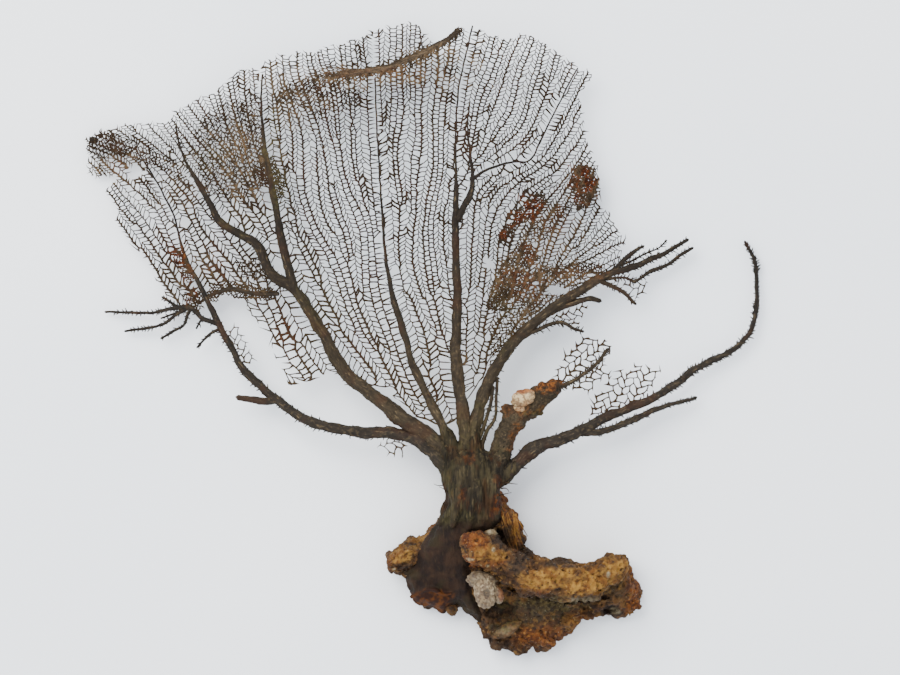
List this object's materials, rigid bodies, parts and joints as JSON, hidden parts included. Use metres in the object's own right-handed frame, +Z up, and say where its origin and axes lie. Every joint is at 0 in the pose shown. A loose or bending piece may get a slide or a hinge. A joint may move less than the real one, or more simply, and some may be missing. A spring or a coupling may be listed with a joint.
{
  "type": "sea fan",
  "caption": "Dried, broken sea fan lying flat: dark branching limbs with an open net between them, on a stem and foot that grip a crusted piece of rock.",
  "frame": {"origin": "under the middle of the whole object, on the surface that it rests on", "axes": "+X across the fan to its right, +Y from the rock towards the fan's upper margin, +Z up"},
  "size_m": [0.4083, 0.3825, 0.0529],
  "materials": {
    "rock": "rough brown rock with rust, ochre and dark purple crusts",
    "bark": "dry horny axis, dark olive brown, finely fibred and matt",
    "crusted_bark": "the same horny axis under a rough rust-brown crust",
    "barnacle": "chalky cream shell, matt and pitted"
  },
  "bodies": {
    "root": {"rock": "rock", "stem_and_foot": "bark", "centre_limb": "bark", "big_left_limb": "bark", "left_fork": "bark", "inner_left_limb": "bark", "right_limb": "bark", "far_left_limb": "bark", "lower_right_limb": "bark", "short_limb": "crusted_bark", "ball_barnacle": "barnacle", "pale_barnacle": "barnacle"}
  },
  "joints": []
}
